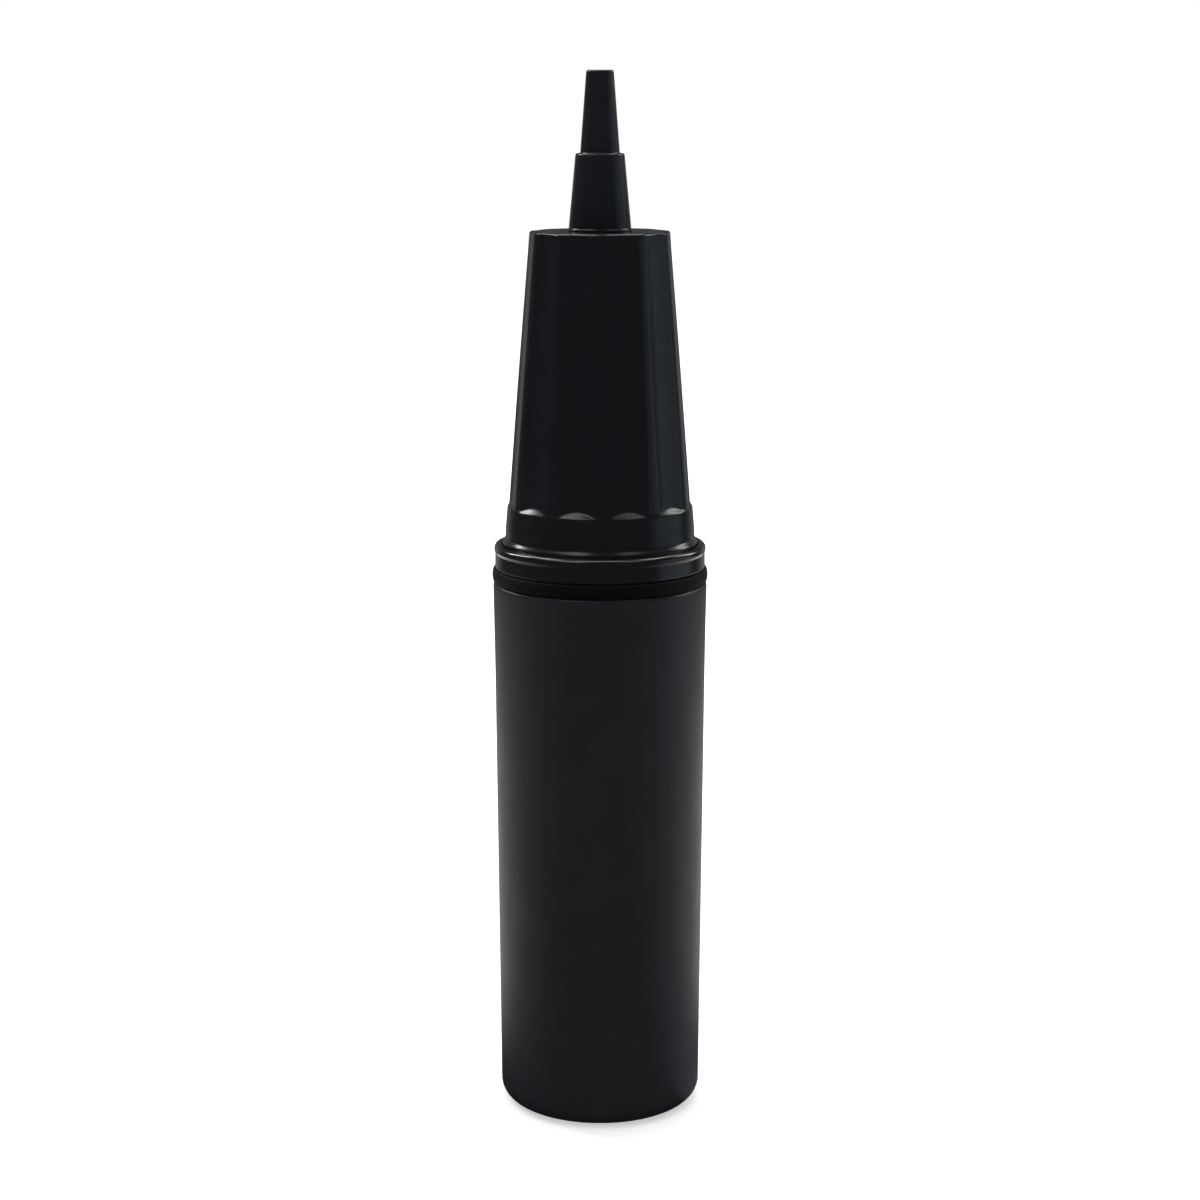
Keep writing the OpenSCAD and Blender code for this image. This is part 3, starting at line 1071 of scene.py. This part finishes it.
@dataclass(frozen=True)
class Studio:
    """A pale floor, narrow lamps high at both sides, a dark card all round for the gloss, and the camera.

    Places round the pump are given by the turn from front to back: -1 in front, nought at the sides and 1
    straight behind. A pair of turns, reaches or heights is where a smooth change starts and where it ends.

    Attributes:
        eye: the camera's place.
        aim: the point that the camera and the lamps face.
        lens: focal length in millimetres.
        sensor: width of the camera's sensor in millimetres.
        floor_half: half the floor's side.
        floor_lines: lines of points along the floor's side.
        paper_white: how much light the floor's paper throws back.
        paper_reach: distances between which the paper's added brightness grows.
        paper_glow: that brightness at those distances.
        room_light: strength of the world's even light on the pump.
        card_path: radius and height of the card's outline, from close to the foot out, up and over.
        card_steps: lines of points round the card.
        wall_fade: heights between which the card's light fades out.
        gap_turn: turns between which it dips straight behind.
        gap_share: what is left of it there.
        back_turn: turns between which the back wall's light grows.
        back_glow: that light's strength at those turns.
        apron_turn: turns between which the light of the floor round the pump grows.
        apron_glow: that light's strength at those turns.
        apron_inner: reaches between which the apron starts; the dark inside them, round the foot, is painted
            shade.
        apron_outer: reaches between which it ends.
        window_way: direction of the window's middle.
        window_turn: cosines of the angle from there between which its light grows.
        window_glow: strength of its light.
        window_tint: colour of its light.
        sky_glow: strength of the even light all over the card.
        lamps: the lamps.
    """

    eye: tuple[float, float, float] = (0.0, -0.485, 0.195)
    aim: tuple[float, float, float] = (0.0, 0.0, 0.100)
    lens: float = 77.0
    sensor: float = 36.0
    floor_half: float = 3.0
    floor_lines: int = 5
    paper_white: float = 0.85
    paper_reach: Pair = (0.12, 0.7)
    paper_glow: Pair = (0.5, 1.0)
    room_light: float = 0.35
    card_path: tuple[Pair, ...] = (
        (0.0172, 0.0002),
        (0.3, 0.0006),
        (0.9, 0.0006),
        (1.4, 0.0006),
        (1.5, 0.1),
        (1.5, 0.75),
        (1.3, 1.3),
        (0.8, 1.7),
        (0.05, 1.9),
    )
    card_steps: int = 73
    wall_fade: Pair = (0.25, 0.75)
    gap_turn: Pair = (0.88, 1.0)
    gap_share: float = 0.25
    back_turn: Pair = (0.6, 1.0)
    back_glow: Pair = (0.0, 0.25)
    apron_turn: Pair = (-0.65, 1.0)
    apron_glow: Pair = (0.0, 1.0)
    apron_inner: Pair = (0.025, 0.09)
    apron_outer: Pair = (0.33, 0.5)
    window_way: tuple[float, float, float] = (0.999, 0.035, 0.0)
    window_turn: Pair = (0.86, 0.97)
    window_glow: float = 0.28
    window_tint: str = "#d3e6f7"
    sky_glow: float = 0.02
    lamps: tuple[Softbox, ...] = (
        Softbox("left_box", -122.0, 36.0, 0.9, (0.13, 0.42), 2.0),
        Softbox("right_box", 122.0, 29.0, 0.9, (0.20, 0.50), 1.2),
        Softbox("back_box", 180.0, 61.0, 1.1, (1.0, 0.4), 7.0),
        Softbox("over_box", 0.0, 89.0, 1.1, (0.6, 0.16), 1.2),
        Softbox("left_fill", -66.0, 61.0, 1.2, (1.0, 0.34), 2.2),
        Softbox("right_fill", 70.0, 60.0, 1.2, (0.8, 0.32), 0.8),
    )

    def build(self) -> None:
        """Sets the stage, the light, the world and the camera."""
        self.floor()
        self.card()
        self.world()
        for box in self.lamps:
            box.build(Vector(self.aim))
        self.camera()
        bpy.context.scene.view_settings.view_transform = "Standard"

    def floor(self) -> None:
        """Lays the pale floor, which keeps the pump's soft shadow and shows as pale in gloss too."""
        line = np.linspace(-self.floor_half, self.floor_half, self.floor_lines)
        x, y = np.meshgrid(line, line)
        piece = sheet("floor", np.stack([x, y, np.zeros_like(x)], -1))
        dress(piece, self.paper())

    def paper(self) -> bpy.types.Material:
        """Makes the white paper of the floor: matt, and lifted towards white for camera, gloss and glass.

        Returns:
            The material.
        """
        material = bpy.data.materials.new("floor_paper")
        tree = cleared_tree(material)
        place = add_node(tree, "ShaderNodeTexCoord").outputs["Object"]
        far = add_node(tree, "ShaderNodeVectorMath", {"operation": "LENGTH"}, {0: place})
        share = add_node(
            tree,
            "ShaderNodeMapRange",
            {
                "From Min": self.paper_reach[0],
                "From Max": self.paper_reach[1],
                "To Min": self.paper_glow[0],
                "To Max": self.paper_glow[1],
            },
            {"Value": far.outputs["Value"]},
        )
        lift = add_node(
            tree,
            "ShaderNodeMath",
            {"operation": "MULTIPLY"},
            {0: background_rays(tree), 1: share.outputs["Result"]},
        )
        white = (self.paper_white, self.paper_white, self.paper_white, 1.0)
        matt = add_node(tree, "ShaderNodeBsdfDiffuse", {"Color": white}).outputs["BSDF"]
        light = add_node(
            tree, "ShaderNodeEmission", {"Color": WHITE}, {"Strength": lift.outputs[0]}
        ).outputs["Emission"]
        lit = add_node(tree, "ShaderNodeAddShader", {}, {0: matt, 1: light})
        add_node(tree, "ShaderNodeOutputMaterial", {}, {"Surface": lit.outputs["Shader"]})
        return material

    def card(self) -> None:
        """Stands a card all round, seen only in gloss: dark, with dim light on its apron, back and window.

        It lies just over the floor from close to the foot out to its wall, then rises and closes overhead:
        at each angle the same path of radius and height, turned about the axis.
        """
        angle = np.radians(np.linspace(-180, 180, self.card_steps))[None, :]
        path = np.array(self.card_path)
        radius, height = path[:, :1], path[:, 1:]
        x, y, z = np.broadcast_arrays(radius * np.sin(angle), -radius * np.cos(angle), height)
        piece = sheet("gloss_card", np.stack([x, y, z], -1))
        dress(piece, self.velvet())
        piece.visible_camera = piece.visible_diffuse = piece.visible_shadow = False
        piece.visible_transmission = piece.visible_volume_scatter = False

    def velvet(self) -> bpy.types.Material:
        """Makes the card's cloth: faint light that depends on where on the card it is.

        With (x, y) the unit direction of a place seen from the pump, y is -1 in front and 1 behind. The
        light is the largest of three patches, plus an even dim sky. The back wall rises with y, the apron
        is a ring of floor that rises with y from the front, and the window is a cool upright band at the
        right. All three fade out with height and dip straight behind. The apron's dark middle round the
        foot is painted shade: it stands in for the pump's shadow on the floor as gloss sees it.

        Returns:
            The finished material.
        """
        material = bpy.data.materials.new("grey_velvet")
        tree = cleared_tree(material)
        place = add_node(tree, "ShaderNodeTexCoord").outputs["Object"]
        flat = add_node(
            tree, "ShaderNodeVectorMath", {"operation": "MULTIPLY", 1: (1.0, 1.0, 0.0)}, {0: place}
        ).outputs["Vector"]
        way = add_node(tree, "ShaderNodeVectorMath", {"operation": "NORMALIZE"}, {0: flat}).outputs["Vector"]
        facing = add_node(
            tree, "ShaderNodeVectorMath", {"operation": "DOT_PRODUCT", 1: self.window_way}, {0: way}
        )
        height = add_node(tree, "ShaderNodeSeparateXYZ", {}, {0: place}).outputs["Z"]
        turn = add_node(tree, "ShaderNodeSeparateXYZ", {}, {0: way}).outputs["Y"]
        reach = add_node(tree, "ShaderNodeVectorMath", {"operation": "LENGTH"}, {0: flat}).outputs["Value"]
        ramps = {
            "fade": (height, "SMOOTHSTEP", self.wall_fade, (1.0, 0.0)),
            "gap": (turn, "SMOOTHSTEP", self.gap_turn, (1.0, self.gap_share)),
            "back": (turn, "SMOOTHSTEP", self.back_turn, self.back_glow),
            "apron": (turn, "LINEAR", self.apron_turn, self.apron_glow),
            # painted shade: no apron light close round the foot, standing in for the pump's shadow on the
            # floor in gloss
            "inner": (reach, "SMOOTHSTEP", self.apron_inner, (0.0, 1.0)),
            "outer": (reach, "SMOOTHSTEP", self.apron_outer, (1.0, 0.0)),
            "window": (facing.outputs["Value"], "SMOOTHSTEP", self.window_turn, (0.0, self.window_glow)),
        }
        value = {
            name: add_node(
                tree,
                "ShaderNodeMapRange",
                {
                    "interpolation_type": kind,
                    "From Min": span[0],
                    "From Max": span[1],
                    "To Min": level[0],
                    "To Max": level[1],
                },
                {"Value": source},
            ).outputs["Result"]
            for name, (source, kind, span, level) in ramps.items()
        }
        steps = (
            ("low", "MULTIPLY", "fade", "gap"),
            ("wall", "MULTIPLY", "back", "low"),
            ("ring", "MULTIPLY", "inner", "outer"),
            ("floor", "MULTIPLY", "apron", "ring"),
            ("near", "MULTIPLY", "floor", "low"),
            ("pane", "MULTIPLY", "window", "low"),
            ("pale", "MAXIMUM", "wall", "near"),
            ("all", "MAXIMUM", "pale", "pane"),
            ("cool", "GREATER_THAN", "pane", "pale"),
        )
        for name, kind, first, second in steps:
            pair = {0: value[first], 1: value[second]}
            value[name] = add_node(tree, "ShaderNodeMath", {"operation": kind}, pair).outputs[0]
        glow = add_node(tree, "ShaderNodeMath", {"operation": "ADD", 1: self.sky_glow}, {0: value["all"]})
        tint = add_node(
            tree,
            "ShaderNodeMix",
            {"data_type": "RGBA", MIX_FIRST: WHITE, MIX_SECOND: linear(self.window_tint)},
            {0: value["cool"]},
        )
        light = add_node(
            tree, "ShaderNodeEmission", {}, {"Color": tint.outputs[MIX_RESULT], "Strength": glow.outputs[0]}
        )
        add_node(tree, "ShaderNodeOutputMaterial", {}, {"Surface": light.outputs["Emission"]})
        return material

    def world(self) -> None:
        """Makes the world white for camera, gloss and glass, and a dim even grey for the rest."""
        world = bpy.data.worlds.new("white_room")
        tree = cleared_tree(world)
        level = add_node(
            tree,
            "ShaderNodeMapRange",
            {"To Min": self.room_light, "To Max": 1.0},
            {"Value": background_rays(tree)},
        )
        white = add_node(
            tree,
            "ShaderNodeBackground",
            {"Color": WHITE},
            {"Strength": level.outputs["Result"]},
        )
        add_node(tree, "ShaderNodeOutputWorld", {}, {"Surface": white.outputs["Background"]})
        bpy.context.scene.world = world

    def camera(self) -> None:
        """Places the camera level with the nozzle, looking slightly down at the pump."""
        data = bpy.data.cameras.new("camera")
        data.lens = self.lens
        data.sensor_width = self.sensor
        data.clip_start, data.clip_end = 0.01, 50.0
        holder = bpy.data.objects.new("camera", data)
        holder.location = self.eye
        way = Vector(self.aim) - Vector(self.eye)
        holder.rotation_euler = way.to_track_quat("-Z", "Y").to_euler()
        bpy.context.scene.collection.objects.link(holder)
        bpy.context.scene.camera = holder


# ---- assembly


def main() -> None:
    """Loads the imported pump, stands the new pieces on it, dresses everything and sets the studio."""
    logging.basicConfig(level=logging.INFO, format="%(name)s: %(message)s")
    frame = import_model()
    Studio().build()
    made = KeptPieces().build(frame["nodes"])
    for group in (CollarGroup(), FlutedGrip(), SteppedNozzle()):
        made += group.build()
    for piece in made:
        LOG.info("%s: %d faces, %s", piece.name, len(piece.data.polygons), piece.data.materials[0].name)


if __name__ == "__main__":
    main()
